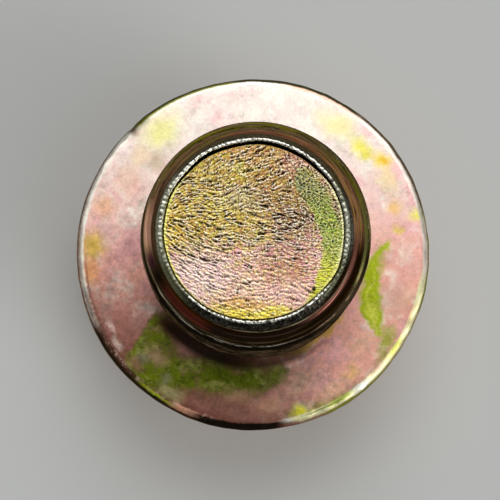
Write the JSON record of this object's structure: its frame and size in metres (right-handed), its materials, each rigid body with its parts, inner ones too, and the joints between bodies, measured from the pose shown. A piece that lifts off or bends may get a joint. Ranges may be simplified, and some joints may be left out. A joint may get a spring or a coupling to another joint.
{
  "type": "oil drain plug",
  "caption": "Flanged oil drain plug with a hexagon head, a flat sealing seat and a short threaded shank with a lead chamfer.",
  "frame": {"origin": "on the ground under the middle of the head, with the plug standing on its head", "axes": "+Z along the shank towards the tip, and +Y out of a flat of the hexagon"},
  "size_m": [0.023, 0.023, 0.023],
  "materials": {
    "yellow_zinc": "cold-forged steel, satin, with an iridescent yellow chromate over zinc plate"
  },
  "bodies": {
    "root": {"drain_plug": "yellow_zinc"}
  },
  "joints": []
}
